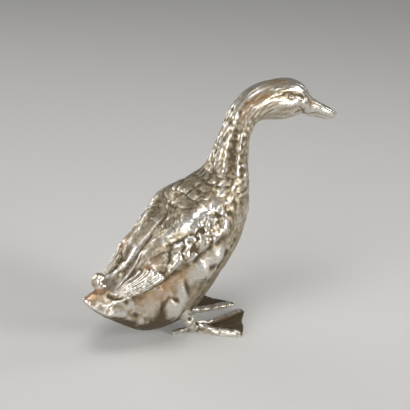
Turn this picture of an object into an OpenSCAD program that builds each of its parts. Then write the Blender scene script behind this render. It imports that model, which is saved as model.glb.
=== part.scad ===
// Duck figurine in cast silver, standing upright on webbed feet.
// Two hollow body shells meet along the back and the belly; the neck with its head and the
// tail are solid castings with spigots, the wings are soldered on, and the legs are tenoned in.
// +X is the way the duck faces, +Y its left side, +Z up, with the floor at Z = 0. Millimetres.

/* [Body] */
// Length of the body along its spine, tail tip to neck seat
body_length = 67; // [62:1:72]
// Greatest width of the body
body_width = 35; // [29:0.5:40]
// Height of the back above the spine at the shoulders
back_rise = 13.5; // [11:0.5:16]
// Depth of the belly below the spine where it is deepest
belly_drop = 25.5; // [21:0.5:28]
// Climb of the spine at the tail
tail_pitch = 4; // [-2:1:10]
// Room between the belly and the floor
belly_gap = 2.5; // [2:0.5:6]
// Wall of the hollow body shells
shell_wall = 1.4; // [1:0.1:2]
// How far the thighs swell out of the flanks
thigh_swell = 1.4; // [0:0.2:2.4]
// Height of the lobes chased on the flanks
flank_relief = 1.1; // [0:0.1:1.4]

/* [Neck and head] */
// Length of the neck along its spine, neck seat to back of the head
neck_length = 33.5; // [28:0.5:38]
// Width of the neck where it is slimmest
neck_width = 11; // [9:0.5:13]
// Depth of the neck where it is slimmest
neck_depth = 10.8; // [9:0.2:13]
// Climb of the neck where it is steepest
neck_pitch = 73; // [66:1:78]
// Length of the head along its spine, up to the bill
head_length = 20; // [17:0.5:23]
// Width of the head over the cheeks
head_width = 13.4; // [11:0.2:15]
// Depth of the head, crown to throat
head_depth = 15; // [13:0.5:17]
// Climb of the head
head_pitch = -4; // [-12:1:6]
// Length of the bill
bill_length = 16; // [12:0.5:20]
// Width of the bill at its base
bill_width = 8.4; // [7:0.2:10]
// Depth of the bill at its base
bill_depth = 7.4; // [6:0.2:8.6]
// Climb of the bill
bill_pitch = -27; // [-34:1:-20]
// Height of the ridges chased on the neck and the head
neck_relief = 0.6; // [0:0.1:0.8]
// Length of the spigots on the neck and the tail
spigot_length = 4; // [2.5:0.5:6]

/* [Tail] */
// Length of the tail casting, tail tip to tail seat
tail_length = 15; // [13:0.5:17]
// How far the tail's side edges stand out
tail_edge = 0.9; // [0:0.1:1.4]
// How far the tail's sides droop below its ridge
tail_droop = 3; // [0:0.5:4]
// Place of the curl along the spine, from the tail tip
curl_along = 8.5; // [7:0.5:9.5]
// Radius of the curl's bend at its root
curl_radius = 1.6; // [1.5:0.1:2.2]
// Thickness of the curl at its root
curl_thickness = 2.8; // [1.8:0.1:2.9]
// Width of the curl across the duck
curl_width = 5.4; // [4:0.2:6]
// Diameter of the curl's peg
curl_peg_diameter = 1.6; // [1.2:0.1:2]
// Length of the curl's peg
curl_peg_length = 2.4; // [1.6:0.2:3]

/* [Wings] */
// Distance of the wing tips from the tail tip, along the spine
wing_start = 9; // [7:0.5:11]
// Length of the folded wing along the spine
wing_length = 54; // [50:0.5:56]
// Thickness of the wing at its rim
wing_rim = 0.5; // [0.4:0.1:0.9]
// Extra thickness of the wing under its coverts
wing_crown = 1.3; // [0.6:0.1:1.8]
// Height of the covert feathers
covert_height = 1.3; // [0.7:0.1:1.7]
// Height of the flight feathers
flight_height = 1.7; // [1:0.1:2]
// Depth of the pits between the coverts
pit_depth = 1.5; // [0.6:0.1:1.6]

/* [Legs and feet] */
// Place of the legs along the spine, from the tail tip
leg_along = 27.5; // [25:0.5:30]
// Place of the legs round the body, from the top of the back
leg_round = 143; // [137:1:149]
// Diameter of the shanks
shank_diameter = 3.4; // [2.6:0.2:4.2]
// How far the ankles swell over the shanks
ankle_swell = 0.8; // [0.3:0.1:1]
// Forward lean of the shanks, going down
leg_rake = 30; // [24:1:38]
// Inward lean of the shanks, going down
leg_lean = 18; // [10:1:20]
// Length of the shank inside the body
tenon_length = 5; // [4:0.5:7]
// Length of the inner toe from the ankle
inner_toe_length = 24; // [20:0.5:26]
// Length of the middle toe from the ankle
middle_toe_length = 19; // [16:0.5:21]
// Length of the outer toe from the ankle
outer_toe_length = 18.5; // [16:0.5:21]
// Thickness of the toes
toe_diameter = 2.6; // [1.8:0.1:2.8]
// Angle between neighbouring toes
toe_spread = 25; // [22:1:28]
// Outward turn of the feet
foot_turn = 16; // [12:1:20]
// How far the foot rises towards the ankle
knuckle_rise = 2; // [0:0.2:2.4]
// Thickness of the webs
web_thickness = 1; // [0.7:0.1:1.4]
// Length of the hind toe
hind_toe_length = 7.5; // [5:0.5:9]
// Thickness of the hind toe at its root
hind_toe_diameter = 2; // [1.6:0.1:2.4]
// Thickness of the hind toe at its tip
hind_toe_tip = 1; // [0.8:0.1:1.4]

/* [Eyes] */
// Diameter of the eye beads
eye_diameter = 2.4; // [1.8:0.1:3]
// Place of the eyes along the head, from the back of the head
eye_along = 9.5; // [8:0.5:12]
// Place of the eyes round the head, from the top
eye_round = 73; // [60:1:78]
// How far the middle of a bead lies under the skin
eye_sink = 0.5; // [0:0.1:0.8]
// Diameter of the stems of the beads
eye_stem_diameter = 1.3; // [1:0.1:1.6]
// Length of the stems of the beads
eye_stem_length = 2.2; // [1.6:0.1:3]

/* [Fits] */
// Clearance round tenons, pegs, stems and spigots
fit_clearance = 0.1; // [0.05:0.05:0.2]
// Solder gap under the wings
solder_gap = 0.1; // [0.05:0.05:0.2]

/* [Hidden] */
$fn = 48;
silver = [0.80, 0.76, 0.69];
worn_silver = [0.88, 0.85, 0.79];
dark_silver = [0.55, 0.49, 0.41];

// Shape of each stretch as shares: along, turn of the pitch, height above the spine,
// depth below the spine, width.
body_shape = [
    [0, 0, 0.04, 0.04, 0.07],
    [0.10, 0.09, 0.15, 0.37, 0.35],
    [0.25, 0.23, 0.25, 0.88, 0.68],
    [0.46, 0.36, 0.58, 1, 0.91],
    [0.67, 0.47, 0.88, 0.76, 1],
    [0.82, 0.63, 1, 0.64, 0.94],
    [0.94, 0.80, 0.87, 0.54, 0.74]];
neck_shape = [
    [0.09, 0.06, 1.44, 1.93, 1.67],
    [0.29, 0, 1.07, 1.44, 1.27],
    [0.50, 0.02, 0.93, 1.19, 1.05],
    [0.71, 0.22, 0.93, 1.07, 1],
    [0.91, 0.61, 1.07, 1.19, 1.05]];
head_shape = [
    [0.21, 0, 0.92, 0.96, 0.96],
    [0.58, 0.10, 1.01, 0.99, 0.99],
    [0.84, 0.58, 0.78, 0.82, 0.80]];
bill_shape = [
    [0.03, 1, 0.78, 1.26, 0.98],
    [0.35, 1, 0.54, 1.16, 0.90],
    [0.70, 1, 0.42, 0.94, 0.92],
    [0.90, 1, 0.30, 0.68, 0.78],
    [1, 1, 0.16, 0.36, 0.44]];

// Stations along the whole duck: distance, pitch, rise, drop, half width.
function stretch(shape, start, length, pitches, rise, drop, width) =
    [for (r = shape)
        [start + r[0] * length, pitches[0] + (pitches[1] - pitches[0]) * r[1],
         rise * r[2], drop * r[3], width / 2 * r[4]]];
head_start = body_length + neck_length;
bill_start = head_start + head_length;
spine_length = bill_start + bill_length;
stations = concat(
    stretch(body_shape, 0, body_length, [tail_pitch, neck_pitch], back_rise, belly_drop, body_width),
    stretch(neck_shape, body_length, neck_length, [neck_pitch, head_pitch],
            neck_depth / 2, neck_depth / 2, neck_width),
    stretch(head_shape, head_start, head_length, [head_pitch, bill_pitch],
            head_depth / 2, head_depth / 2, head_width),
    stretch(bill_shape, bill_start, bill_length, [head_pitch, bill_pitch],
            bill_depth / 2, bill_depth / 2, bill_width));

// Smooth curve through the rows of a table, read at its first column.
function span(rows, at, i = 0) = i >= len(rows) - 2 || at < rows[i + 1][0] ? i : span(rows, at, i + 1);
function slope(rows, i) =
    let (a = max(i - 1, 0), b = min(i + 1, len(rows) - 1))
    (rows[b] - rows[a]) / (rows[b][0] - rows[a][0]);
function blend(rows, at) =
    let (i = span(rows, at), h = rows[i + 1][0] - rows[i][0], t = (at - rows[i][0]) / h)
    rows[i] * (2 * t^3 - 3 * t^2 + 1) + slope(rows, i) * h * (t^3 - 2 * t^2 + t)
    + rows[i + 1] * (3 * t^2 - 2 * t^3) + slope(rows, i + 1) * h * (t^3 - t^2);
function mix(a, b, t) = a + (b - a) * t;

// Spine in the plane of symmetry, followed in short steps from the tail tip.
spine_steps = 264;
spine_step = spine_length / spine_steps;
function heading(along) = let (p = blend(stations, along)[1]) [cos(p), 0, sin(p)];
function upward(along) = let (p = blend(stations, along)[1]) [-sin(p), 0, cos(p)];
spine_path = [for (i = 0, p = [0, 0, 0]; i <= spine_steps;
                   p = p + spine_step * heading((i + 0.5) * spine_step), i = i + 1) p];
function path_point(along) =
    let (i = min(floor(along / spine_step), spine_steps - 1))
    mix(spine_path[i], spine_path[i + 1], along / spine_step - i);

// The duck stands over its box's middle, with the belly clear of the floor.
belly_steps = 50;
belly_low = min([for (i = [0 : belly_steps])
                 let (a = body_length * i / belly_steps)
                 path_point(a)[2] - upward(a)[2] * blend(stations, a)[3]]);
offset_x = -(path_point(0)[0] + path_point(spine_length)[0]) / 2;
lift = [offset_x, 0, belly_gap - belly_low];
function spine(along) = lift + path_point(along);

// Soft strokes chased on the skin: each is a line of points with a share along its stretch, an
// angle round, a half width and a share of the height.
function smooth(t) = let (x = min(1, max(0, t))) x * x * (3 - 2 * x);
function flat(along, round) =
    let (r = blend(stations, along)) [along, (r[2] + r[4]) / 2 * round * PI / 180];
function drawn(lines, start, length) =
    [for (line = lines) [for (p = line) concat(flat(start + length * p[0], p[1]), [p[2], p[3]])]];
function stroke(at, line) =
    max([for (i = [0 : len(line) - 2])
        let (a = line[i], b = line[i + 1], run = [b[0] - a[0], b[1] - a[1]],
             t = ([at[0] - a[0], at[1] - a[1]] * run) / (run * run), p = mix(a, b, min(1, max(0, t))))
        p[3] * smooth(1 - norm([at[0] - p[0], at[1] - p[1]]) / p[2])]);
function highest(at, lines) = max([for (line = lines) stroke(at, line)]);

// Lobes on the flanks, ridges on the neck, the head and the bill, and a hollow down the neck's side.
flank_lines = [
    [[0.67, 100, 6, 1], [0.60, 101, 5.5, 0.9]],
    [[0.55, 98, 5, 0.8], [0.51, 97, 4, 0.6]],
    [[0.45, 112, 5, 0.6], [0.40, 104, 4, 0.5]]];
neck_lines = [
    [[0.18, 28, 1.9, 0.7], [0.39, 15, 1.9, 0.9], [0.57, 6, 1.9, 0.8], [0.78, 18, 1.9, 0.6]],
    [[0.09, 100, 1.6, 0.8], [0.30, 88, 1.6, 1], [0.57, 76, 1.6, 0.8]],
    [[0.12, 48, 1.6, 0.5], [0.39, 40, 1.6, 0.8], [0.66, 36, 1.6, 0.5]],
    [[0.80, 58, 1.9, 0.7], [0.90, 66, 1.9, 0.8], [0.99, 72, 1.8, 0.5]]];
head_lines = [
    [[0.25, 92, 1.7, 0.5], [0.48, 90, 1.8, 1], [0.73, 90, 1.8, 1], [0.92, 96, 1.7, 0.6]],
    [[0.20, 40, 2, 0.3], [0.52, 46, 2.2, 0.6], [0.75, 56, 2, 0.5]]];
neck_hollow = [[[0.15, 68, 2.2, 0.9], [0.36, 62, 2.2, 1], [0.57, 57, 1.9, 0.9], [0.72, 52, 1.6, 0.7]]];
flank_strokes = drawn(flank_lines, 0, body_length);
neck_strokes = concat(drawn(neck_lines, body_length, neck_length), drawn(head_lines, head_start, head_length));
hollow_strokes = drawn(neck_hollow, body_length, neck_length);
function chased(along, round) =
    let (at = flat(along, round))
    along < body_length ? flank_relief * highest(at, flank_strokes)
    : neck_relief * (highest(at, neck_strokes) - highest(at, hollow_strokes));

// Swell of the thighs, of the tail's side edges and of the chased forms, by distance along and
// angle round.
function bell(x, width) = exp(-(x / width)^2);
thigh_along = leg_along - 2;
thigh_round = leg_round - 20;
thigh_reach = 5;
thigh_arc = 17;
tail_edge_round = 104;
tail_edge_arc = 9;
function swell(along, round) =
    thigh_swell * bell(along - thigh_along, thigh_reach) * bell(round - thigh_round, thigh_arc)
    + tail_edge * bell(round - tail_edge_round, tail_edge_arc)
      * max(0, 1 - abs(2 * along / tail_length - 1)^2)
    + chased(along, round);

// Point of the duck's skin. The angle goes round from the top of the back towards the right
// side, and grow moves the point outwards.
function normal_at(along, round) =
    let (r = blend(stations, along), a = cos(round) >= 0 ? r[2] : r[3],
         v = upward(along) * (cos(round) / a) + [0, -sin(round) / r[4], 0])
    v / norm(v);
droop_place = 5.5;
droop_reach = 4;
function droop(along, round) = tail_droop * bell(along - droop_place, droop_reach) * sin(round)^2;
function skin(along, round, grow = 0) =
    let (r = blend(stations, along), a = cos(round) >= 0 ? r[2] : r[3])
    spine(along) + upward(along) * (a * cos(round) - droop(along, round)) + [0, -r[4] * sin(round), 0]
    + normal_at(along, round) * (grow + swell(along, abs(round > 180 ? 360 - round : round)));

// Solid between two grids of points of the same size, the first one outside.
module slab(outer, inner) {
    rows = len(outer);
    cols = len(outer[0]);
    count = rows * cols;
    function at(i, j, side) = side * count + i * cols + j;
    function quad(a, b, c, d) = [[a, c, b], [a, d, c]];
    faces = concat(
        [for (i = [0 : rows - 2], j = [0 : cols - 2],
              f = quad(at(i, j, 0), at(i, j + 1, 0), at(i + 1, j + 1, 0), at(i + 1, j, 0))) f],
        [for (i = [0 : rows - 2], j = [0 : cols - 2],
              f = quad(at(i, j, 1), at(i + 1, j, 1), at(i + 1, j + 1, 1), at(i, j + 1, 1))) f],
        [for (i = [0 : rows - 2],
              f = concat(quad(at(i, 0, 0), at(i + 1, 0, 0), at(i + 1, 0, 1), at(i, 0, 1)),
                         quad(at(i, cols - 1, 0), at(i, cols - 1, 1),
                              at(i + 1, cols - 1, 1), at(i + 1, cols - 1, 0)))) f],
        [for (j = [0 : cols - 2],
              f = concat(quad(at(0, j, 0), at(0, j, 1), at(0, j + 1, 1), at(0, j + 1, 0)),
                         quad(at(rows - 1, j, 0), at(rows - 1, j + 1, 0),
                              at(rows - 1, j + 1, 1), at(rows - 1, j, 1)))) f]);
    polyhedron(points = [for (grid = [outer, inner], row = grid, p = row) p], faces = faces, convexity = 6);
}

// Solid through closed rings of points, with flat ends.
module loft(rings) {
    rows = len(rings);
    cols = len(rings[0]);
    function at(i, j) = i * cols + j % cols;
    faces = concat(
        [[for (j = [0 : cols - 1]) at(0, j)], [for (j = [0 : cols - 1]) at(rows - 1, cols - 1 - j)]],
        [for (i = [0 : rows - 2], j = [0 : cols - 1],
              f = [[at(i, j), at(i + 1, j + 1), at(i, j + 1)], [at(i, j), at(i + 1, j), at(i + 1, j + 1)]]) f]);
    polyhedron(points = [for (row = rings, p = row) p], faces = faces, convexity = 6);
}

// Children moved to a point, with their Z along a direction.
module along_line(point, direction) {
    d = direction / norm(direction);
    translate(point) rotate([0, acos(d[2]), atan2(d[1], d[0])]) children();
}
module mirrored() {
    mirror([0, 1, 0]) children();
}

// Line of the right leg, from the skin down to the ankle.
leg_down = [tan(leg_rake), tan(leg_lean), -1];
hip = skin(leg_along, leg_round);
ankle_diameter = shank_diameter + ankle_swell;
ankle_height = ankle_diameter / 2;
ankle = hip + leg_down * (hip[2] - ankle_height);
leg_up = -leg_down / norm(leg_down);
shank_length = norm(hip - ankle) + tenon_length;

// Body shells
shell_rows = 22;
shell_cols = 15;
module right_body_shell() {
    function grid(grow) =
        [for (i = [0 : shell_rows])
            [for (j = [0 : shell_cols])
                skin(mix(tail_length, body_length, i / shell_rows), 180 * j / shell_cols, grow)]];
    color(silver) difference() {
        slab(grid(0), grid(-shell_wall));
        along_line(ankle, leg_up) {
            cylinder(h = shank_length + fit_clearance, d = shank_diameter + 2 * fit_clearance);
        }
    }
}
module left_body_shell() {
    mirrored() right_body_shell();
}

// Solid castings at the two ends of the body
ring_cols = 2 * shell_cols;
function ring(along, grow = 0) = [for (j = [0 : ring_cols - 1]) skin(along, 360 * j / ring_cols, grow)];
function spigot_ring(along, out) =
    [for (p = ring(along, -shell_wall - fit_clearance)) p + heading(along) * out];
neck_rows = 40;
module neck_and_head() {
    rings = concat(
        [spigot_ring(body_length, -spigot_length), spigot_ring(body_length, 0)],
        [for (i = [0 : neck_rows]) ring(mix(body_length, spine_length, i / neck_rows))]);
    color(silver) difference() {
        loft(rings);
        eye_socket();
        mirrored() eye_socket();
    }
}
tail_rows = 8;
module tail() {
    rings = concat(
        [for (i = [0 : tail_rows]) ring(tail_length * i / tail_rows)],
        [spigot_ring(tail_length, 0), spigot_ring(tail_length, spigot_length)]);
    color(dark_silver) difference() {
        loft(rings);
        along_line(curl_root, -curl_up) {
            cylinder(h = curl_peg_length + fit_clearance, d = curl_peg_diameter + 2 * fit_clearance);
        }
    }
}

// Curled feather: a flat tapering tube, rolled from its root on the tail back, up and forwards
// in the plane of symmetry, on a round peg
curl_root = skin(curl_along, 0);
curl_bed = skin(curl_along + curl_radius, 0) - skin(curl_along - curl_radius, 0);
curl_back = -curl_bed / norm(curl_bed);
curl_up = [curl_back[2], 0, -curl_back[0]];
curl_start = -115;
curl_turn = 325;
curl_taper = 0.45;
curl_blunt = 0.22;
curl_rounding = 6;
curl_rows = 20;
curl_cols = 12;
module tail_curl() {
    half = curl_thickness / 2;
    seat = fit_clearance + half;
    centre = curl_root + curl_up * (seat + curl_radius);
    function full(t) = max(curl_blunt, sqrt(1 - abs(2 * t - 1)^curl_rounding));
    rings = [for (i = [0 : curl_rows])
        let (t = i / curl_rows, a = curl_start + curl_turn * t, size = mix(1, curl_taper, t),
             out = curl_back * cos(a) + curl_up * sin(a))
        [for (j = [0 : curl_cols - 1])
            let (b = 360 * j / curl_cols)
            centre + out * size * (curl_radius + half * full(t) * cos(b))
            - [0, curl_width / 2 * size * full(t) * sin(b), 0]]];
    color(worn_silver) union() {
        loft(rings);
        along_line(curl_root + curl_up * seat, -curl_up) {
            cylinder(h = seat + curl_peg_length, d = curl_peg_diameter);
        }
    }
}

// Wings: outline as shares of the wing's length from its tip, with the angles of the upper
// and the lower edge round from the top of the back.
wing_outline = [
    [0, 32, 58],
    [0.05, 24, 82],
    [0.14, 13, 88],
    [0.24, 8, 86],
    [0.32, 5, 78],
    [0.40, 4, 74],
    [0.47, 3, 74],
    [0.53, 3, 81],
    [0.60, 3, 80],
    [0.68, 3, 84],
    [0.76, 5, 89],
    [0.84, 9, 98],
    [0.92, 22, 98],
    [0.97, 40, 92],
    [1, 56, 80]];
wing_rows = 36;
wing_cols = 18;

// Covert feathers: the long shoulder lobe first, then the lumpy lobes below it.
covert_lines = [
    [[0.27, 27, 4.5, 0.7], [0.38, 28, 6, 0.9], [0.59, 31, 7, 0.9], [0.78, 43, 7, 0.8], [0.94, 57, 4.5, 0.3]],
    [[0.32, 46, 3.4, 1], [0.40, 48, 3.2, 0.8]],
    [[0.38, 70, 2.2, 0.6], [0.45, 62, 2.6, 1], [0.50, 55, 2.4, 0.8]],
    [[0.53, 64, 2.6, 0.8], [0.58, 60, 2.6, 0.85]],
    [[0.51, 77, 2.2, 0.55], [0.57, 75, 2.3, 0.7]],
    [[0.63, 73, 3.2, 1], [0.68, 71, 3.2, 1]],
    [[0.69, 64, 2.8, 0.8], [0.75, 67, 2.9, 0.85]],
    [[0.74, 79, 3, 0.85], [0.80, 77, 3, 0.85]],
    [[0.80, 65, 2.8, 0.8], [0.85, 57, 2.8, 0.6]],
    [[0.85, 81, 3.2, 0.8], [0.91, 79, 3, 0.7]],
    [[0.83, 93, 2.6, 0.6], [0.90, 91, 2.8, 0.55]],
    [[0.91, 69, 3, 0.6], [0.98, 73, 2.8, 0.4]]];

// Flight feathers: a thin rib along the upper edge, and a bundle of quills below a hollow.
flight_lines = [
    [[0.02, 36, 0.9, 0.3], [0.10, 20, 0.9, 0.5], [0.22, 11, 1, 0.6], [0.34, 8, 1, 0.4]],
    [[0.03, 38, 1.2, 0.35], [0.22, 41, 1.3, 0.65]],
    [[0.03, 49, 1.4, 0.55], [0.28, 57, 1.7, 1]],
    [[0.04, 59, 1.4, 0.55], [0.29, 66, 1.7, 0.95]],
    [[0.06, 71, 1.5, 0.4], [0.30, 74, 1.7, 0.75]],
    [[0.09, 84, 1.2, 0.25], [0.30, 82, 1.4, 0.5]]];
pit_lines = [
    [[0.69, 54, 2.2, 0.85], [0.72, 61, 2, 1]],
    [[0.86, 59, 1.8, 0.65], [0.89, 66, 1.9, 0.8]],
    [[0.97, 79, 2, 0.6], [0.94, 85, 1.8, 0.6]],
    [[0.59, 67, 1.8, 0.6], [0.60, 73, 1.5, 0.55]],
    [[0.77, 71, 1.6, 0.45], [0.79, 72, 1.6, 0.45]],
    [[0.69, 80, 1.7, 0.6], [0.70, 78, 1.5, 0.6]]];
coverts = drawn(covert_lines, wing_start, wing_length);
flights = drawn(flight_lines, wing_start, wing_length);
pits = drawn(pit_lines, wing_start, wing_length);
covert_rear = [0.22, 0.33];
covert_front = [0.66, 0.95];
front_loss = 0.85;
function wing_edges(u) =
    let (i = span(wing_outline, u), a = wing_outline[i], b = wing_outline[i + 1])
    mix(a, b, (u - a[0]) / (b[0] - a[0]));
function ramp(u, ends) = smooth((u - ends[0]) / (ends[1] - ends[0]));
function wing_height(u, along, round) =
    let (at = flat(along, round),
         body = wing_crown * ramp(u, covert_rear) * (1 - front_loss * ramp(u, covert_front)),
         raised = max(covert_height * highest(at, coverts), flight_height * highest(at, flights)))
    max(wing_rim, wing_rim + body + raised - pit_depth * highest(at, pits));
module right_wing() {
    function place(i, j, over) =
        let (u = i / wing_rows, v = j / wing_cols, edge = wing_edges(u),
             along = wing_start + wing_length * u, round = mix(edge[1], edge[2], v),
             rim = j == 0 || j == wing_cols || i == 0 || i == wing_rows)
        skin(along, round, solder_gap + over * (rim ? wing_rim : wing_height(u, along, round)));
    function grid(over) = [for (i = [0 : wing_rows]) [for (j = [0 : wing_cols]) place(i, j, over)]];
    color(worn_silver) slab(grid(1), grid(0));
}
module left_wing() {
    mirrored() right_wing();
}

// Feet: each toe is a half-round ridge, with a flat web between neighbours. A column of points is
// a toe's number and a share of its half thickness aside, or a place between two toes.
toe_lengths = [inner_toe_length, middle_toe_length, outer_toe_length];
toe_sides = [-1, -0.87, -0.5, 0, 0.5, 0.87, 1];
web_places = [0.33, 0.67];
foot_columns = [for (toe = [0 : 2], c = concat(
    [for (side = toe_sides) [toe, side]], toe < 2 ? [for (w = web_places) [toe + w, undef]] : [])) c];
foot_rows = 10;
foot_near = 0.04;
toe_rises = [0.6, 0.25, 1];
knuckle_reach = 0.45;
tip_length = 0.1;
toe_crowding = 0.35;
hind_toe_lift = 0.1;
module foot() {
    function toe_angle(toe) = (1 - toe) * toe_spread;
    function web_top(share) = web_thickness + knuckle_rise * smooth(1 - share / knuckle_reach);
    function toe_point(toe, side, share) =
        let (a = toe_angle(toe), r = toe_lengths[toe] * share,
             aside = side * min(toe_diameter / 2, toe_crowding * r * sin(toe_spread)),
             tip = sqrt(max(0, 1 - max(0, (share - 1 + tip_length) / tip_length)^2)))
        [r * cos(a) + aside * sin(a), r * sin(a) - aside * cos(a),
         web_top(share) + sqrt(1 - side^2) * (toe_diameter - web_thickness) * toe_rises[toe] * tip];
    function web_point(place, share) =
        let (w = place - floor(place),
             p = mix(toe_point(floor(place), 1, share), toe_point(ceil(place), -1, share), w))
        [p[0], p[1], web_top(share)];
    function column_point(c, share) = is_undef(c[1]) ? web_point(c[0], share) : toe_point(c[0], c[1], share);
    function grid(over) =
        [for (i = [0 : foot_rows])
            [for (c = foot_columns)
                let (p = column_point(c, mix(foot_near, 1, i / foot_rows))) [p[0], p[1], over * p[2]]]];
    slab(grid(1), grid(0));
}
module right_leg() {
    hind_slope = asin((ankle_height - hind_toe_tip / 2 - hind_toe_lift) / hind_toe_length);
    color(silver) union() {
        translate([ankle[0], ankle[1], 0]) rotate([0, 0, -foot_turn]) {
            foot();
            translate([0, 0, ankle_height]) rotate([0, -90 - hind_slope, 0]) {
                cylinder(h = hind_toe_length, d1 = hind_toe_diameter, d2 = hind_toe_tip);
            }
        }
        translate(ankle) sphere(d = ankle_diameter);
        along_line(ankle, leg_up) cylinder(h = shank_length, d = shank_diameter);
    }
}
module left_leg() {
    mirrored() right_leg();
}

// Eyes: a round bead on a stem, seated in a drilled socket in the side of the head
eye_at = head_start + eye_along;
module at_eye() {
    along_line(skin(eye_at, eye_round, -eye_sink), normal_at(eye_at, eye_round)) children();
}
module eye_socket() {
    depth = eye_diameter / 2 + fit_clearance;
    at_eye() {
        translate([0, 0, -depth]) cylinder(h = 2 * depth, d = eye_diameter + 2 * fit_clearance);
        translate([0, 0, -depth - eye_stem_length]) {
            cylinder(h = depth + eye_stem_length, d = eye_stem_diameter + 2 * fit_clearance);
        }
    }
}
module right_eye() {
    color(dark_silver) at_eye() union() {
        sphere(d = eye_diameter);
        translate([0, 0, -eye_diameter / 2 - eye_stem_length + fit_clearance]) {
            cylinder(h = eye_diameter / 2 + eye_stem_length - fit_clearance, d = eye_stem_diameter);
        }
    }
}
module left_eye() {
    mirrored() right_eye();
}

right_body_shell();
left_body_shell();
neck_and_head();
tail();
tail_curl();
right_wing();
left_wing();
right_leg();
left_leg();
right_eye();
left_eye();
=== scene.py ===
# Duck figurine in cast silver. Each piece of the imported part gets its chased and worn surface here.
import math
import bpy
import numpy as np
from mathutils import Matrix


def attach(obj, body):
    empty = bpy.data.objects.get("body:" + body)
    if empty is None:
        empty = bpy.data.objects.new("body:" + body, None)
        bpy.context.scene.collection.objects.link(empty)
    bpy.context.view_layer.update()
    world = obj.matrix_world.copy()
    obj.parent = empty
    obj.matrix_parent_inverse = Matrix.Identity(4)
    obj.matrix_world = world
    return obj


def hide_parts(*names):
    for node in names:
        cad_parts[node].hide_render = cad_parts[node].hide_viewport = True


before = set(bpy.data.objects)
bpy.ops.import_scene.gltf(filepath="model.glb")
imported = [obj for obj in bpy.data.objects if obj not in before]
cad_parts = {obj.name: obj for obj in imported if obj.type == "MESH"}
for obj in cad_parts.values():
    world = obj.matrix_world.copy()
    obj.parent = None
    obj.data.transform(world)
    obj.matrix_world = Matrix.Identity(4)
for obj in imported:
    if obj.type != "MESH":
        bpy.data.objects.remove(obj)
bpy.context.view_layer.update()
bpy.ops.object.select_all(action="DESELECT")

# Body shells
# The body is two hollow halves cast in silver, soldered along the back and the belly, then filed
# flush and chased. Their skin is lofted over a bent spine: lengths along it are in millimetres from
# the tail tip, and angles go round from the top of the back, the right side positive.
MM = 0.001
tail_length = 15
body_length = 67
body_rise = 13.5
body_drop = 25.5
body_width = 35
neck_length = 33.5
neck_depth = 5.4
neck_width = 11
head_length = 20
head_depth = 7.5
head_width = 13.4
bill_length = 16
bill_depth = 3.7
bill_width = 8.4
tail_pitch = 4
chest_pitch = 73
crown_pitch = -4
bill_pitch = -27
shell_wall = 1.4
belly_gap = 2.5
thigh_along = 25.5
thigh_around = 123
thigh_swell = 1.4
tail_edge_around = 104
tail_edge_swell = 0.9
tail_droop = 3
tail_droop_along = 5.5
tail_tip_round = 1.2
bill_tip_round = 1.6

# Shares of each stretch's own sizes: place, turn of the pitch, rise, drop and width.
body_shape = [
    (0, 0, 0.04, 0.04, 0.07),
    (0.10, 0.09, 0.15, 0.37, 0.35),
    (0.25, 0.23, 0.25, 0.88, 0.68),
    (0.46, 0.36, 0.58, 1, 0.91),
    (0.67, 0.47, 0.88, 0.76, 1),
    (0.82, 0.63, 1, 0.64, 0.94),
    (0.94, 0.80, 0.87, 0.54, 0.74)]
neck_shape = [
    (0.09, 0.06, 1.44, 1.93, 1.67),
    (0.29, 0, 1.07, 1.44, 1.27),
    (0.50, 0.02, 0.93, 1.19, 1.05),
    (0.71, 0.22, 0.93, 1.07, 1),
    (0.91, 0.61, 1.07, 1.19, 1.05)]
head_shape = [
    (0.21, 0, 0.92, 0.96, 0.96),
    (0.58, 0.10, 1.01, 0.99, 0.99),
    (0.84, 0.58, 0.78, 0.82, 0.80)]
bill_shape = [
    (0.03, 1, 0.78, 1.26, 0.98),
    (0.35, 1, 0.54, 1.16, 0.90),
    (0.70, 1, 0.42, 0.94, 0.92),
    (0.90, 1, 0.30, 0.68, 0.78),
    (1, 1, 0.16, 0.36, 0.44)]


def stretch(shape, start, length, first, last, rise, drop, width):
    """Stations of one stretch of the spine: distance, pitch, rise, drop and half width."""
    return [(start + a * length, first + (last - first) * turn, rise * r, drop * d, width / 2 * w)
            for a, turn, r, d, w in shape]


head_start = body_length + neck_length
bill_start = head_start + head_length
spine_length = bill_start + bill_length
stations = np.array(
    stretch(body_shape, 0, body_length, tail_pitch, chest_pitch, body_rise, body_drop, body_width)
    + stretch(neck_shape, body_length, neck_length, chest_pitch, crown_pitch,
              neck_depth, neck_depth, neck_width)
    + stretch(head_shape, head_start, head_length, crown_pitch, bill_pitch,
              head_depth, head_depth, head_width)
    + stretch(bill_shape, bill_start, bill_length, crown_pitch, bill_pitch,
              bill_depth, bill_depth, bill_width))


def curve(at):
    """Pitch, rise, drop and half width at a distance along the spine, smooth through the stations."""
    x = stations[:, 0]
    order = np.arange(len(x))
    before = np.maximum(order - 1, 0)
    after = np.minimum(order + 1, len(x) - 1)
    slopes = (stations[after] - stations[before]) / (x[after] - x[before])[:, None]
    i = np.clip(np.searchsorted(x, at, side="right") - 1, 0, len(x) - 2)
    h = (x[i + 1] - x[i])[..., None]
    t = (at - x[i])[..., None] / h
    blended = (stations[i] * (2 * t**3 - 3 * t**2 + 1) + slopes[i] * h * (t**3 - 2 * t**2 + t)
               + stations[i + 1] * (3 * t**2 - 2 * t**3) + slopes[i + 1] * h * (t**3 - t**2))
    return np.moveaxis(blended, -1, 0)[1:]


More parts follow.
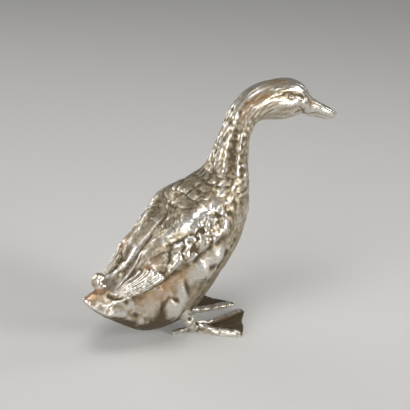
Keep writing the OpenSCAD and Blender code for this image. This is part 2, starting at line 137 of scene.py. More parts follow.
spine_marks = 1057
marks = np.linspace(0, spine_length, spine_marks)
pitches = np.radians(curve((marks[1:] + marks[:-1]) / 2)[0])
spine_x = np.append(0, np.cumsum(np.cos(pitches))) * marks[1]
spine_z = np.append(0, np.cumsum(np.sin(pitches))) * marks[1]
spine_x = spine_x - (spine_x[0] + spine_x[-1]) / 2
belly = curve(marks[marks < body_length])
belly_depth = np.cos(np.radians(belly[0])) * belly[2]
spine_z = spine_z + belly_gap - np.min(spine_z[:len(belly_depth)] - belly_depth)


def bell(x, width):
    """A soft bump, 1 in the middle."""
    return np.exp(-(x / width) ** 2)


def fade(x, start, end):
    """A soft step from 0 at start to 1 at end."""
    t = np.clip((x - start) / (end - start), 0, 1)
    return t * t * (3 - 2 * t)


def skin(along, around, grow):
    """Point of the duck's skin in millimetres, moved outwards by grow."""
    pitch, rise, drop, half = curve(along)
    pitch = np.radians(pitch)
    cosine = np.cos(np.radians(around))
    sine = np.sin(np.radians(around))
    deep = np.where(cosine >= 0, rise, drop)
    up = np.stack([-np.sin(pitch), 0 * pitch, np.cos(pitch)], -1)
    across = np.stack([0 * sine, -sine, 0 * sine], -1)
    out = up * (cosine / deep)[..., None] + across / half[..., None]
    out = out / np.linalg.norm(out, axis=-1, keepdims=True)
    side = np.abs(around)
    swell = thigh_swell * bell(along - thigh_along, 5) * bell(side - thigh_around, 17)
    tail_share = np.clip(1 - (2 * along / tail_length - 1) ** 2, 0, 1)
    swell = swell + tail_edge_swell * bell(side - tail_edge_around, 9) * tail_share
    bill_end = np.clip((along - spine_length + bill_tip_round) / bill_tip_round, 0, 1)
    tail_end = np.clip(1 - along / tail_tip_round, 0, 1)
    blunt = np.sqrt(1 - bill_end ** 2) * np.sqrt(1 - tail_end ** 2)
    middle = np.stack([np.interp(along, marks, spine_x), 0 * along, np.interp(along, marks, spine_z)], -1)
    droop = tail_droop * bell(along - tail_droop_along, 4) * sine ** 2
    ring = up * (deep * cosine - droop)[..., None] + across * half[..., None]
    ring = ring + out * (grow + swell)[..., None]
    return middle + ring * blunt[..., None]


def reach(along, around):
    """Distance round the skin from the top of the back, in millimetres."""
    shape = curve(along)
    return np.radians(around) * (shape[1] + shape[3]) / 2


def chance(cell, seed):
    """A fixed scattered number from 0 to 1 for every cell."""
    key = np.sin(cell @ np.array([127.1, 311.7, 74.7]) + seed * 53.3)
    return np.modf(np.abs(key) * 43758.5453)[0]


def lumps(points, size, seed):
    """Smooth random swell between -1 and 1."""
    base = np.floor(points / size)
    part = points / size - base
    part = part * part * (3 - 2 * part)
    total = 0
    for corner in np.ndindex(2, 2, 2):
        share = np.prod(np.where(corner, part, 1 - part), axis=-1)
        total = total + share * chance(base + corner, seed)
    return 2 * total - 1


def scales(x, y, size, seed):
    """Height of irregular feather tips of one size, from 0 to 1, each with its free end towards the tail."""
    base = np.floor(np.stack([x, y, 0 * x], -1) / size)
    nearest = np.full(x.shape, 9.0)
    second = np.full(x.shape, 9.0)
    lean = np.zeros(x.shape)
    for step in ((i, j, 0) for i in (-1, 0, 1) for j in (-1, 0, 1)):
        cell = base + step
        ahead = x / size - cell[..., 0] - chance(cell, seed)
        gap = np.hypot(ahead, y / size - cell[..., 1] - chance(cell, seed + 1))
        second = np.minimum(second, np.maximum(nearest, gap))
        lean = np.where(gap < nearest, ahead, lean)
        nearest = np.minimum(nearest, gap)
    slope = 0.3 + 0.9 * np.clip(0.5 + lean, 0, 1)
    return np.clip((second - nearest) / slope, 0, 1) * (0.8 - 0.5 * np.clip(lean, -0.5, 0.5))


def stroke(along, around, line):
    """Height of a soft stroke along a line of points, each with its half width and its height."""
    x = along
    y = reach(along, around)
    best = np.zeros(along.shape)
    for first, last in zip(line, line[1:] + line[-1:]):
        ends = np.array([first[0], last[0]])
        turns = reach(ends, [first[1], last[1]])
        run = ends[1] - ends[0]
        climb = turns[1] - turns[0]
        span = run * run + climb * climb + 1e-9
        t = np.clip(((x - ends[0]) * run + (y - turns[0]) * climb) / span, 0, 1)
        away = np.hypot(x - ends[0] - run * t, y - turns[0] - climb * t)
        half = first[2] + (last[2] - first[2]) * t
        high = first[3] + (last[3] - first[3]) * t
        best = np.maximum(best, high * fade(1 - away / half, 0, 1))
    return best


# Strokes of the chasing tool, of dirt and of wear, each a line of points: place along the spine, angle, half
# width, and height or amount. Some dirt strokes are painted shade and some worn strokes painted highlights.
ridges = [
    [(45, 100, 6, 0.8), (40, 101, 5.5, 0.7)],
    [(46.5, 108, 3.2, 0.8), (44.5, 106, 3.4, 0.7)],
    [(38, 105, 3.8, 0.9), (34.5, 102, 3.6, 0.8)],
    [(30, 112, 5, 0.5), (27, 104, 4, 0.4)],
    [(29, 107, 2.8, 0.7), (27.8, 111, 2.6, 0.5)],
    [(23.6, 113, 3.4, 1.3), (24.4, 120, 3.2, 1.0)],
    [(22.5, 98, 2.6, 0.6), (18, 109, 3, 0.7), (14.5, 120, 2.6, 0.6)],
    [(1.2, 88, 1.0, 0.5), (5, 100, 1.1, 0.9), (9, 112, 1.1, 0.9), (12, 121, 1.0, 0.6), (16, 128, 1, 0.2)],
    [(4, 66, 1.4, 0.3), (9, 82, 1.6, 0.4), (13, 98, 1.5, 0.3)],
    [(73, 28, 2.2, 0.3), (80, 15, 2.2, 0.4), (86, 6, 2.2, 0.3), (93, 18, 2.2, 0.2)],
    [(70, 100, 1.3, 0.2), (77, 88, 1.3, 0.3), (86, 76, 1.3, 0.3)],
    [(71, 48, 1.6, 0.2), (80, 40, 1.7, 0.3), (89, 36, 1.6, 0.2)],
    [(93.5, 58, 2.2, 0.2), (97, 66, 2.2, 0.3), (100, 72, 2.0, 0.2)],
    [(105.5, 92, 2.0, 0.2), (110, 90, 2.2, 0.4), (115, 90, 2.2, 0.4), (119, 96, 2.0, 0.3)],
    [(104, 40, 2, 0.1), (111, 46, 2.2, 0.2), (115.5, 56, 2, 0.2)],
    [(116, 94, 1.8, 0.5), (124, 98, 2.0, 0.6), (133, 106, 1.6, 0.4)]]
grooves = [
    [(41.2, 106, 1.6, 0.6), (42.6, 110, 1.6, 0.8)],
    [(31.2, 106, 2.2, 0.6), (34, 110, 1.8, 0.5), (37, 114, 1.8, 0.3)],
    [(48, 112, 2.4, 0.6), (44, 116, 2, 0.5)],
    [(26.5, 110, 0.7, 0.3), (24.5, 103, 0.7, 0.4), (21.6, 108, 0.7, 0.5), (20, 122, 0.7, 0.4)],
    [(8, 40, 1.0, 0.6), (10, 66, 1.1, 0.7), (12, 92, 1.1, 0.4)],
    [(71, 70, 3.2, 0.25), (79, 63, 3.2, 0.35), (86, 57, 2.6, 0.35), (91, 52, 2.0, 0.2)],
    [(72.5, 106, 1.5, 0.4), (74.5, 103, 1.5, 0.5)],
    [(95, 40, 2.0, 0.2), (98, 48, 2.2, 0.25), (100.5, 56, 2.0, 0.2)],
    [(107, 61, 1.6, 0.1), (111, 62, 1.6, 0.2), (115, 74, 1.4, 0.2)],
    [(110, 73, 2.4, 0.3)],
    [(113.5, 121, 1.4, 0.3), (116.5, 119, 1.0, 0.25), (125, 120, 0.8, 0.25), (133, 121, 0.7, 0.2)],
    [(116.5, 66, 1.0, 0.4), (121, 70, 0.9, 0.3), (126, 72, 0.8, 0.2)]]
dirt_and_painted_shade = [
    [(64, 100, 7, 0.15), (72, 98, 6, 0.25), (80, 90, 5, 0.25), (88, 80, 4, 0.15)],
    [(20, 123, 0.8, 0.3), (21.6, 108, 0.8, 0.4), (24.5, 103, 0.8, 0.3), (26.5, 110, 0.8, 0.2)],
    [(12, 92, 1.2, 0.4), (18, 88, 1.4, 0.6), (25, 80, 1.4, 0.6), (31, 77, 1.4, 0.5)],
    # painted shade: the lower flank made darker towards the belly
    [(40, 122, 5, 0.3), (48, 120, 5, 0.3), (56, 122, 5, 0.25)],
    [(33, 110, 1.4, 0.3), (34.5, 119, 1.8, 0.4)],
    # painted shade: the lower side made darker towards the belly
    [(10, 128, 3, 0.4), (17, 146, 5, 0.5), (27, 146, 5, 0.5), (36, 143, 6, 0.4), (46, 134, 6, 0.3)],
    [(38, 17, 3, 0.15), (47, 22, 4, 0.2), (54, 29, 4.5, 0.25), (61, 36, 4.5, 0.2)],
    # tarnish and painted shade in the gap between the wings, also dulling the far wing's edge highlight
    [(18, 0, 2, 0.3), (28, 0, 2, 0.3), (41, 0, 2.5, 0.25), (49, 4, 5, 0.2), (54, 4, 5, 0.15)],
    [(23, 84, 2.5, 0.4), (30, 80, 2.5, 0.5), (36, 86, 2.5, 0.5), (44, 84, 2.5, 0.5),
     (54, 97, 2.5, 0.5), (61, 92, 3, 0.3)],
    # the underside: tarnish and painted shade, darker towards the bottom
    [(3, 145, 3, 0.4), (10, 150, 6, 0.7), (18, 156, 10, 0.8), (32, 165, 12, 0.5),
     (46, 165, 11, 0.35), (56, 165, 9, 0.2)],
    [(8, 40, 1.6, 0.4), (11, 80, 1.4, 0.4), (13, 94, 1.2, 0.2)],
    [(102.5, 56, 1.8, 0.2), (106, 60, 2.2, 0.35), (111, 62, 2.0, 0.4), (115, 72, 1.6, 0.4)],
    [(93, 40, 2.4, 0.35), (97, 47, 2.6, 0.35), (102, 56, 2.2, 0.35)],
    [(103, 10, 4, 0.2), (110, 14, 4, 0.2)],
    [(54, 10, 9, 0.15), (62, 25, 10, 0.25), (68, 30, 7, 0.2)],
    [(68, 76, 3, 0.2), (74, 69, 3.4, 0.3), (80, 63, 3, 0.3), (87, 57, 2.4, 0.2)]]
wear_and_painted_highlights = [
    # painted highlight along the side and top of the bill
    [(116, 92, 8, 0.2), (124, 96, 8, 0.35), (134, 100, 7, 0.35)],
    [(12, 52, 5, 0.25), (23, 66, 6, 0.35)],
    # painted highlight: a bright band along the lower part of the wing's shoulder lobe
    [(32, 29, 2, 0.1), (41, 33, 2.5, 0.2), (46, 44, 3.5, 0.3), (52, 51, 4, 0.4), (58, 59, 4, 0.4)],
    [(112, 25, 4, 0.2), (116, 40, 3, 0.2)],
    [(2, 90, 2, 0.2), (7, 104, 3, 0.3), (12, 112, 3.5, 0.25)],
    [(10, 36, 1.0, 0.4), (14.4, 20, 1.0, 0.5), (21, 11, 1.1, 0.5), (27, 8, 1.1, 0.4)],
    # these four: the thigh knob and flank lobes worn bright, with painted highlights on them
    [(23.5, 112, 3, 0.5), (22.5, 119, 3, 0.4)],
    [(28.5, 107, 4, 0.5), (27, 113, 3, 0.4)],
    [(18, 108, 4, 0.5), (15.5, 114, 4, 0.4)],
    [(46, 106, 5, 0.5), (40, 104, 5.5, 0.4), (35, 102, 5.5, 0.5)]]
stains = [
    [(2, 0, 4, 0.9), (7, 0, 4, 0.7)],
    [(16, 100, 2.2, 0.5), (22, 95, 2.6, 0.6), (29, 91, 3, 0.6), (36, 92, 2.4, 0.4)],
    [(24, 40, 3, 0.5), (28, 46, 3.5, 0.4)],
    [(92, 60, 2.5, 0.4), (96, 52, 3, 0.4), (101, 58, 2.5, 0.4)],
    [(118, 76, 1.5, 0.5), (123, 75, 1.5, 0.4)],
    [(104, 20, 3, 0.25), (110, 25, 3, 0.25)]]
neck_hollow = [(71, 68, 3, 0.9), (79, 62, 3, 0.9), (87, 56, 2.5, 0.9)]

# Heights and sizes of the feather tips and of the cast surface, in millimetres.
tip_level = 0.6
mantle_height = 0.36
mantle_tip = 4.2
breast_height = 0.20
breast_tip = 3.8
neck_mark_height = 0.12
neck_mark = 1.6
neck_lump_height = 0.20
line_height = 0.10
line_width = 0.7
grain_height = 0.07
grain_size = 0.9


def relief(along, around):
    """Height of the chased and worn surface over the skin, in millimetres."""
    points = skin(along, around, 0)
    side = np.abs(around)
    arc = reach(along, side)
    flank = fade(side, 85, 100) * fade(along, 12, 20) * (1 - fade(along, 48, 60))
    calm = (1 - 0.4 * fade(along, 60, 72) - 0.35 * fade(along, 94, 104)) * (1 - 0.4 * flank)
    high = calm * (0.40 * lumps(points, 7.5, 1) + 0.22 * lumps(points, 3.8, 2) + 0.16 * lumps(points, 1.7, 3))
    shift = 1.5 * lumps(points, 5, 4)
    mantle = fade(along, 34, 44) * (1 - fade(along, 68, 76)) * (1 - fade(side, 60, 120))
    tips = scales((along + shift) / 1.2, arc + shift, mantle_tip, 5) - tip_level
    high = high + mantle * mantle_height * tips
    breast = fade(along, 56, 63) * (1 - fade(along, 70, 78)) * fade(side, 50, 100)
    tips = scales((along + shift) / 1.5, arc + shift, breast_tip, 7) - tip_level
    high = high + breast * breast_height * tips
    neck = fade(along, 66, 72) * (1 - fade(along, 90, 98)) * (1 - stroke(along, side, neck_hollow))
    tips = scales((along + 0.5 * arc + shift) / 1.8, arc + 0.5 * shift, neck_mark, 9) - tip_level
    high = high + neck * (neck_mark_height * tips + neck_lump_height * lumps(points, 1.6, 11))
    lined = np.maximum(fade(along, 86, 98), 1 - fade(along, 12, 20))
    high = high + line_height * lined * lumps(np.stack([along / 5, arc, 0 * arc], -1), line_width, 12)
    grain = grain_height * (1 - 0.7 * fade(along, 90, 100)) * (1 - 0.7 * flank)
    high = high + grain * lumps(points, grain_size, 13)
    for line in ridges:
        high = high + stroke(along, side, line)
    for line in grooves:
        high = high - stroke(along, side, line)
    return high


def sheet(name, along, around, height):
    """A grid laid on the skin, with its own height over the skin at every point."""
    columns = along.shape[1] - 1
    bpy.ops.mesh.primitive_grid_add(x_subdivisions=columns, y_subdivisions=len(along) - 1, size=1)
    piece = bpy.context.object
    piece.name = name
    piece.data.vertices.foreach_set("co", (skin(along, around, height) * MM).ravel())
    piece.data.update()
    side = np.abs(around)
    # The dark strokes hold dirt and painted shade, the bright ones wear and painted highlights.
    dark, bright, copper = (np.max([stroke(along, side, line) for line in lines], axis=0)
                            for lines in (dirt_and_painted_shade, wear_and_painted_highlights, stains))
    for layer, amount in (("tarnish_and_painted_light", dark - bright), ("copper", copper)):
        piece.data.attributes.new(layer, "FLOAT", "POINT").data.foreach_set("value", amount.ravel())
    return piece


def pick(piece):
    """Selects one piece alone."""
    bpy.ops.object.select_all(action="DESELECT")
    piece.select_set(True)
    bpy.context.view_layer.objects.active = piece


def in_edit(piece, *steps):
    """Runs edit mode steps on the whole mesh of a piece."""
    pick(piece)
    bpy.ops.object.mode_set(mode="EDIT")
    bpy.ops.mesh.select_all(action="SELECT")
    for step, settings in steps:
        step(**settings)
    bpy.ops.object.mode_set(mode="OBJECT")


def modify(piece, kind, **settings):
    """Adds a modifier to a piece and applies it."""
    pick(piece)
    bpy.ops.object.modifier_add(type=kind)
    modifier = piece.modifiers[-1]
    for key, value in settings.items():
        setattr(modifier, key, value)
    bpy.ops.object.modifier_apply(modifier=modifier.name)


def points_of(piece, what):
    """The places or the normals of a piece's points."""
    values = np.empty(len(piece.data.vertices) * 3)
    piece.data.vertices.foreach_get(what, values)
    return values.reshape(-1, 3)


fine_rounds = 8
broad_rounds = 80


def age(piece, base, fine, broad):
    """Tarnish for every point: dark in hollows, worn off on what stands out."""
    mesh = piece.data
    for name in ("tarnish_and_painted_light", "copper"):
        if name not in mesh.attributes:
            mesh.attributes.new(name, "FLOAT", "POINT")
    points = points_of(piece, "co")
    normals = points_of(piece, "normal")
    ends = np.empty(len(mesh.edges) * 2, dtype=np.int32)
    mesh.edges.foreach_get("vertices", ends)
    a, b = ends.reshape(-1, 2).T
    count = len(points)
    share = np.maximum(1, np.bincount(a, minlength=count) + np.bincount(b, minlength=count))
    soft = points.copy()
    tarnish_and_painted_light = np.empty(count)
    layer = mesh.attributes["tarnish_and_painted_light"]
    layer.data.foreach_get("value", tarnish_and_painted_light)
    tarnish_and_painted_light = tarnish_and_painted_light + base
    for turn in range(1, broad_rounds + 1):
        soft = np.stack([np.bincount(a, soft[b, k], count) + np.bincount(b, soft[a, k], count)
                         for k in range(3)], 1) / share[:, None]
        if turn == fine_rounds:
            tarnish_and_painted_light = tarnish_and_painted_light + fine * np.sum((soft - points) * normals, axis=1) / MM
        if turn == broad_rounds:
            tarnish_and_painted_light = tarnish_and_painted_light + broad * np.sum((soft - points) * normals, axis=1) / MM
    layer.data.foreach_set("value", np.clip(tarnish_and_painted_light, 0, 1))


tarnish_brown = (0.34, 0.28, 0.19, 1)
copper_tan = (0.54, 0.31, 0.15, 1)


def silver(name, clean, stained):
    """Old silver: tarnish in the hollows, worn bright on the heights, with a fine uneven grain. Its layer
    also carries the painted shade and painted highlights of the strokes.
    """
    material = bpy.data.materials.new(name)
    material.use_nodes = True
    nodes = material.node_tree.nodes
    links = material.node_tree.links
    shader = nodes["Principled BSDF"]

    def add(kind, **inputs):
        node = nodes.new("ShaderNode" + kind)
        for key, value in inputs.items():
            node.inputs[key].default_value = value
        return node

    def sum_up(first, share, second):
        node = add("Math")
        node.operation = "MULTIPLY_ADD"
        links.new(first, node.inputs[0])
        node.inputs[1].default_value = share
        if isinstance(second, float):
            node.inputs[2].default_value = second
        else:
            links.new(second, node.inputs[2])
        return node.outputs[0]

    place = add("TexCoord").outputs["Object"]
    patches = add("TexNoise", Scale=420.0, Detail=6.0, Roughness=0.65)
    grain = add("TexNoise", Scale=1500.0, Detail=4.0, Roughness=0.65)
    links.new(place, patches.inputs["Vector"])
    links.new(place, grain.inputs["Vector"])
    # this layer holds tarnish together with the painted shade and painted highlights of the strokes
    dark = add("Attribute")
    dark.attribute_name = "tarnish_and_painted_light"
    stain = add("Attribute")
    stain.attribute_name = "copper"
    depth = sum_up(patches.outputs["Fac"], 0.5, sum_up(dark.outputs["Fac"], 1.0, -0.25))
    depth = sum_up(grain.outputs["Fac"], 0.4, sum_up(depth, 1.0, -0.2))
    tones = add("ValToRGB")
    tones.color_ramp.elements[0].position = 0.10
    tones.color_ramp.elements[0].color = clean
    tones.color_ramp.elements[1].position = 0.92
    tones.color_ramp.elements[1].color = stained
    middle = tones.color_ramp.elements.new(0.55)
    middle.color = tarnish_brown
    links.new(depth, tones.inputs["Fac"])
    tint = add("MixRGB", Color2=copper_tan)
    links.new(sum_up(stain.outputs["Fac"], 0.75, 0.0), tint.inputs["Fac"])
    links.new(tones.outputs["Color"], tint.inputs["Color1"])
    links.new(tint.outputs["Color"], shader.inputs["Base Color"])
    links.new(sum_up(depth, -0.8, 1.15), shader.inputs["Metallic"])
    rough = sum_up(depth, 0.30, sum_up(grain.outputs["Fac"], 0.24, 0.16))
    links.new(rough, shader.inputs["Roughness"])
    bump = add("Bump", Strength=0.35, Distance=0.0002)
    links.new(grain.outputs["Fac"], bump.inputs["Height"])
    links.new(bump.outputs["Normal"], shader.inputs["Normal"])
    return material


sharp_angle = 50


def finish(piece, material, node):
    """Smooth shading, the material, and the CAD node that the piece stands for."""
    pick(piece)
    bpy.ops.object.shade_smooth_by_angle(angle=math.radians(sharp_angle))
    piece.data.materials.clear()
    piece.data.materials.append(material)
    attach(piece, "root")
    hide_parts(node)


cast_silver = silver("cast silver", (0.71, 0.68, 0.62, 1), (0.085, 0.06, 0.03, 1))
shell_along = np.linspace(tail_length, body_length, 175)
for node, last in (("right_body_shell", 180), ("left_body_shell", -180)):
    along, around = np.meshgrid(shell_along, np.linspace(0, last, 181))
    shell = sheet(node + "_looks", along, around, relief(along, around))
    if last > 0:
        in_edit(shell, (bpy.ops.mesh.flip_normals, {}))
    age(shell, base=0.56, fine=3.4, broad=0.6)
    modify(shell, "SOLIDIFY", thickness=shell_wall * MM, offset=-1)
    finish(shell, cast_silver, node)

# Neck and head
# One solid casting with a spigot in the body's neck opening, soldered and filed flush. Its neck is
# chased with lengthwise ridges and short feather marks; the head is smoother, with a brow line.
weld = 1e-6


def solid_casting(node, along, around, slot, **wear):
    """A piece whose skin goes all the way round, closed at its soldered end."""
    along, around = np.meshgrid(along, around)
    piece = sheet(node + "_looks", along, around, relief(along, around))
    in_edit(piece, (bpy.ops.mesh.remove_doubles, {"threshold": weld}), (bpy.ops.mesh.flip_normals, {}))
    age(piece, **wear)
    in_edit(piece, (bpy.ops.mesh.fill_holes, {"sides": 0}),
            (bpy.ops.mesh.normals_make_consistent, {"inside": False}))
    finish(piece, cast_silver, node)


neck_along = np.linspace(body_length, spine_length, 280)
neck_around = np.linspace(-180, 180, 181)
solid_casting("neck_and_head", neck_along, neck_around, "cast_silver", base=0.56, fine=4.8, broad=0.45)

# Tail
# A pointed solid casting that closes the rear of the body on its own spigot, with raised side edges
# and a few chased feather lines. It has a coppery stain at the tip.
tail_along = np.linspace(0, tail_length, 76)
tail_around = np.linspace(-180, 180, 241)
solid_casting("tail", tail_along, tail_around, "dark_silver", base=0.46, fine=3.2, broad=0.4)

# Tail curl
# The curled drake feather, a small solid knob cast on its own peg and soldered into the tail. It is
# plumped up a little and roughened, as a worn casting is.
curl_swell = 0.6
curl_stem_swell = 0.5
curl_knob_height = 2.5
curl_copper = 0.3
worn_silver = silver("worn silver", (0.74, 0.715, 0.665, 1), (0.085, 0.06, 0.03, 1))


def cad_copy(node, size, rounds):
    """A finer, rounded copy of a CAD node, for a piece whose shape the CAD already has."""
    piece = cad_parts[node].copy()
    piece.data = piece.data.copy()
    piece.name = node + "_looks"
    bpy.context.collection.objects.link(piece)
    in_edit(piece, (bpy.ops.mesh.remove_doubles, {"threshold": weld}),
            (bpy.ops.mesh.normals_make_consistent, {"inside": False}))
    modify(piece, "REMESH", mode="VOXEL", voxel_size=size * MM)
    modify(piece, "SMOOTH", factor=0.5, iterations=rounds)
    return piece


def swell_out(piece, amount):
    """Moves every point outwards by its own amount, in millimetres."""
    points = points_of(piece, "co") / MM
    points = points + points_of(piece, "normal") * amount[:, None]
    piece.data.vertices.foreach_set("co", (points * MM).ravel())


def roughen(piece, *layers):
    """Uneven cast surface: each layer has the size and the height of its lumps, in millimetres."""
    points = points_of(piece, "co") / MM
    normals = points_of(piece, "normal")
    for size, high in layers:
        points = points + normals * high * lumps(points, size, size)[:, None]
    piece.data.vertices.foreach_set("co", (points * MM).ravel())
    piece.data.update()


curl = cad_copy("tail_curl", 0.3, 5)
curl_z = points_of(curl, "co")[:, 2] / MM
curl_stem = fade(curl_z.max() - curl_knob_height - curl_z, 0, 1)
swell_out(curl, curl_swell + curl_stem_swell * curl_stem)
roughen(curl, (1.5, 0.25))
age(curl, base=0.75, fine=1.2, broad=0.3)
curl.data.attributes["copper"].data.foreach_set("value", np.full(len(curl_z), curl_copper))
finish(curl, worn_silver, "tail_curl")

# Wings
# Each folded wing is one solid casting soldered on its shell: a long smooth shoulder lobe, a lower
# row of lumpy coverts with deep pits, a bundle of flight feathers, and a thin rib along the top.
wing_start = 9
wing_length = 54
wing_rim = 0.5
wing_crown = 1.3
wing_seat = 0.4
wing_wall = 0.3
wing_pit_dark = 0.5
wing_tip_height = 0.40
wing_barb_height = 0.10

# Share of the wing's length, with the angles of its upper and lower edge there.
wing_outline = [
    (0, 32, 58),
    (0.05, 24, 82),
    (0.14, 13, 88),
    (0.24, 8, 86),
    (0.32, 5, 78),
    (0.40, 4, 74),
    (0.47, 3, 74),
    (0.53, 3, 81),
    (0.60, 3, 80),
    (0.68, 3, 84),
    (0.76, 5, 89),
    (0.84, 9, 98),
    (0.92, 22, 98),
    (0.97, 40, 92),
    (1, 56, 80)]

# Strokes on the wing: share of its length, angle, half width and height or depth.
feathers = [
    [(0.27, 27, 4.2, 0.9), (0.38, 27, 5, 1.2), (0.52, 28, 5.4, 1.4), (0.66, 39, 5.4, 1.3),
     (0.80, 47, 5.4, 1.1), (0.94, 60, 4, 0.5)],
    [(0.32, 46, 4.2, 1.3), (0.40, 48, 4.0, 1.1)],
    [(0.38, 70, 3.0, 0.8), (0.45, 62, 3.4, 1.2), (0.50, 55, 3.2, 1.0)],
    [(0.53, 64, 3.2, 1.0), (0.58, 60, 3.2, 1.1)],
    [(0.52, 48, 2.6, 1.0), (0.55, 52, 2.4, 0.9)],
    [(0.60, 53, 2.6, 1.1), (0.63, 58, 2.4, 1.0)],
    [(0.51, 77, 2.8, 0.7), (0.57, 75, 3.0, 0.8)],
    [(0.63, 73, 4.4, 1.0), (0.68, 71, 4.4, 1.0)],
    [(0.69, 64, 4.4, 0.8), (0.75, 67, 4.4, 0.8)],
    [(0.74, 79, 4.4, 0.8), (0.80, 77, 4.4, 0.8)],
    [(0.80, 65, 4.6, 0.7), (0.85, 57, 4.6, 0.7)],
    [(0.85, 81, 4.4, 0.7), (0.91, 79, 4.4, 0.6)],
    [(0.83, 93, 3.6, 0.6), (0.90, 91, 3.6, 0.5)],
    [(0.91, 69, 4.4, 0.5), (0.98, 73, 3.8, 0.4)]]
quills = [
    [(0.02, 36, 0.5, 0.4), (0.10, 20, 0.5, 0.5), (0.22, 11, 0.5, 0.6), (0.34, 8, 0.5, 0.4)],
    [(0.03, 38, 1.8, 0.6), (0.22, 34, 2.2, 1.2)],
    [(0.03, 45, 2.0, 0.7), (0.25, 46, 2.6, 1.5)],
    [(0.03, 51, 2.0, 0.8), (0.28, 56, 2.6, 1.5)],
    [(0.04, 58, 2.0, 0.9), (0.29, 65, 2.6, 1.6)],
    [(0.06, 70, 2.0, 0.7), (0.30, 73, 2.4, 1.3)],
    [(0.09, 83, 1.6, 0.5), (0.30, 82, 1.8, 0.8)]]
pits = [
    [(0.05, 33, 1.0, 0.3), (0.12, 25, 1.5, 0.5), (0.22, 20, 1.8, 0.5), (0.30, 16, 1.6, 0.3)],
    [(0.47, 38, 0.9, 0.15), (0.53, 44, 1.0, 0.2), (0.57, 48, 1.0, 0.15)],
    [(0.65, 58, 1.2, 0.3), (0.67, 62, 1.4, 0.4)],
    [(0.69, 55, 1.8, 0.6), (0.715, 60, 2.0, 0.8)],
    [(0.86, 58, 1.8, 0.5), (0.88, 66, 2.0, 0.6)],
    [(0.97, 79, 2.2, 0.6), (0.94, 85, 2.0, 0.6)],
    [(0.59, 67, 2.0, 0.6), (0.60, 73, 1.8, 0.5)],
    [(0.69, 80, 2.0, 0.5), (0.70, 78, 1.8, 0.5)]]


def on_wing(line):
    """A stroke of the wing with its places along the spine."""
    return [(wing_start + wing_length * share, angle, half, high) for share, angle, half, high in line]


share, across = np.meshgrid(np.linspace(0, 1, 264), np.linspace(0, 1, 137))
upper, lower = (np.interp(share, *np.array(wing_outline).T[[0, k]]) for k in (1, 2))
along = wing_start + wing_length * share
around = upper + (lower - upper) * across
points = skin(along, around, 2)
uneven = 0.8 * lumps(points, 2.4, 36)
height = np.zeros(share.shape)
for line in feathers:
    height = np.maximum(height, stroke(along + uneven, around + 3 * uneven, on_wing(line)))
for line in quills:
    height = np.maximum(height, stroke(along, around, on_wing(line)))
crown = fade(share, 0.22, 0.33) * (1 - 0.85 * fade(share, 0.66, 0.95))
height = height + wing_rim + wing_crown * crown
hollow = sum(stroke(along + uneven, around + 4 * uneven, on_wing(line)) for line in pits)
height = height - hollow
rough = fade(around, 40, 60)
height = height + 0.50 * lumps(points, 5.5, 31) + (0.16 + 0.12 * rough) * lumps(points, 2.6, 32)
height = height + (0.05 + 0.14 * rough) * lumps(points, 1.1, 33)
mantle = fade(share, 0.38, 0.58) * (1 - fade(around, 28, 50))
tips = scales((along + 2 * uneven) / 1.2, reach(along, around) + 2 * uneven, mantle_tip, 37)
height = height + wing_tip_height * mantle * (tips - tip_level)
height = height + (0.05 + 0.06 * rough) * lumps(points, 0.8, 38)
bundle = (1 - fade(share, 0.20, 0.34)) * fade(around, 28, 34)
height = height + wing_barb_height * bundle * np.sin(around * 1.2 + 2.5 * lumps(points, 4, 35))
rim = np.sqrt(1 - np.abs(2 * across - 1) ** 8) * np.sqrt(1 - np.abs(2 * share - 1) ** 40)
ends = (0.3 + 0.7 * fade(share, 0, 0.14)) * (1 - 0.5 * fade(share, 0.88, 1))
blend = 1 - fade(share, 0.50, 0.70) * (1 - fade(across, 0, 0.35))
height = (height + wing_seat) * rim * ends * blend - wing_seat


def darken(piece, amount):
    """Adds to the tarnish of a piece."""
    layer = piece.data.attributes["tarnish_and_painted_light"]
    tarnish_and_painted_light = np.empty(len(layer.data))
    layer.data.foreach_get("value", tarnish_and_painted_light)
    layer.data.foreach_set("value", np.clip(tarnish_and_painted_light + amount, 0, 1))


def mirrored(piece, name):
    """A copy of a right hand piece for the left side."""
    other = piece.copy()
    other.data = piece.data.copy()
    other.name = name
    bpy.context.collection.objects.link(other)
    other.data.vertices.foreach_set("co", (points_of(piece, "co") * [1, -1, 1]).ravel())
    in_edit(other, (bpy.ops.mesh.flip_normals, {}))
    return other


wing = sheet("right_wing_looks", along, around, height)
in_edit(wing, (bpy.ops.mesh.flip_normals, {}))
modify(wing, "SMOOTH", factor=0.5, iterations=2)
age(wing, base=0.57, fine=5.0, broad=0.6)
darken(wing, wing_pit_dark * hollow.ravel())
modify(wing, "SOLIDIFY", thickness=wing_wall * MM, offset=-1)
left_wing = mirrored(wing, "left_wing_looks")
finish(wing, worn_silver, "right_wing")
finish(left_wing, worn_silver, "left_wing")

# Legs
# Each leg is one casting: a short shank tenoned into the shell, a knotted ankle, three toes with flat
# webs between them and a small hind toe. The webs are dark, the toes and their tips are worn bright.
ankle_knot = 0.7
ankle_front = 0.3
hind_toe_swell = 0.45
hind_toe_length = 5
web_top = 2.0
web_dark = 0.75
leg = cad_copy("right_leg", 0.2, 5)
points = points_of(leg, "co") / MM
facing = np.clip(points_of(leg, "normal")[:, 0], 0, 1)
knots = fade(points[:, 2], 1.8, 3.2) * (ankle_front * facing + ankle_knot * lumps(points, 2.0, 41))
hind = hind_toe_swell * fade(points[:, 0].min() + hind_toe_length - points[:, 0], 0, 2)
swell_out(leg, knots + hind)
roughen(leg, (3.0, 0.12), (1.3, 0.14))
points = points_of(leg, "co")
points[:, 2] = np.maximum(points[:, 2], 0)
leg.data.vertices.foreach_set("co", points.ravel())
age(leg, base=0.54, fine=4.5, broad=0.9)
low = points_of(leg, "co")[:, 2] / MM
faces_up = points_of(leg, "normal")[:, 2] > 0.4
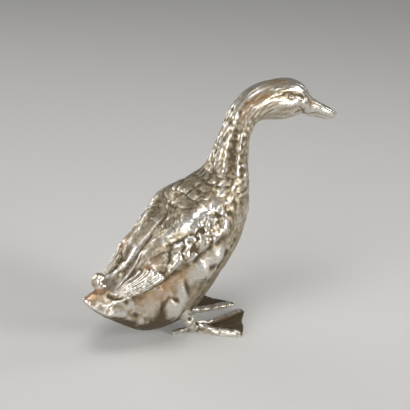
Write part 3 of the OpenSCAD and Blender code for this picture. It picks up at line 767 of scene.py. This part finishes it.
darken(leg, web_dark * fade(web_top - low, 0, 0.7) * faces_up)
left_leg = mirrored(leg, "left_leg_looks")
finish(leg, cast_silver, "right_leg")
finish(left_leg, cast_silver, "left_leg")

# Eyes
# Small silver beads, each on a stem in a drilled socket in the side of the head. They are a little
# darker and warmer than the metal round them.
dark_silver = silver("dark silver", (0.62, 0.56, 0.46, 1), (0.06, 0.04, 0.025, 1))
for node in ("right_eye", "left_eye"):
    eye = cad_copy(node, 0.1, 3)
    age(eye, base=0.4, fine=1.0, broad=0.3)
    finish(eye, dark_silver, node)

# Studio
# A plain pale floor, a soft grey surround and six soft lights: a broad and a low one to the right of
# the camera, a small one before the bill, a wide one on the tail's side, one overhead and one behind.
floor_size = 6
bpy.ops.mesh.primitive_plane_add(size=floor_size, location=(0, 0, 0))
floor = bpy.context.object
floor.name = "floor"
pale = bpy.data.materials.new("pale floor")
pale.use_nodes = True
pale.node_tree.nodes["Principled BSDF"].inputs["Base Color"].default_value = (0.66, 0.65, 0.63, 1)
pale.node_tree.nodes["Principled BSDF"].inputs["Roughness"].default_value = 0.7
floor.data.materials.append(pale)

world = bpy.data.worlds.new("soft surround")
bpy.context.scene.world = world
world.use_nodes = True
world.node_tree.nodes["Background"].inputs["Color"].default_value = (0.44, 0.44, 0.44, 1)
world.node_tree.nodes["Background"].inputs["Strength"].default_value = 0.5
duck_middle = np.array([0, 0, 0.045])


def lamp(name, place, size, power, spread):
    """A square soft light that faces the duck's middle."""
    bpy.ops.object.light_add(type="AREA", location=place)
    light = bpy.context.object
    light.name = name
    light.data.size = size
    light.data.energy = power
    light.data.spread = math.radians(spread)
    direction = duck_middle - np.array(place)
    light.rotation_euler = (math.atan2(math.hypot(direction[0], direction[1]), -direction[2]), 0,
                            math.atan2(-direction[0], direction[1]))


lamp("broad light", (0.45, -0.72, 0.33), size=0.30, power=0.75, spread=80)
lamp("low light", (0.42, -0.74, 0.14), size=0.18, power=0.05, spread=30)
lamp("face light", (0.75, -0.21, 0.43), size=0.20, power=0.12, spread=60)
lamp("side light", (-0.78, -0.30, 0.28), size=0.70, power=1.5, spread=90)
lamp("top light", (-0.10, -0.10, 0.95), size=0.40, power=1.0, spread=120)
lamp("back light", (-0.40, 0.80, 0.28), size=0.50, power=0.6, spread=90)

camera_distance = 0.4
bpy.ops.object.camera_add()
camera = bpy.context.object
bpy.context.scene.camera = camera
elevation = math.radians(23)
azimuth = math.radians(-30)
aim = np.array([-0.0035, 0, 0.0461])
back = np.array([math.sin(azimuth) * math.cos(elevation), -math.cos(azimuth) * math.cos(elevation),
                 math.sin(elevation)])
camera.location = aim + camera_distance * back
camera.rotation_euler = (math.pi / 2 - elevation, 0, azimuth)
camera.data.sensor_width = 36
camera.data.lens = 97.6
camera.data.clip_start = 0.01
bpy.context.scene.view_settings.view_transform = "Standard"
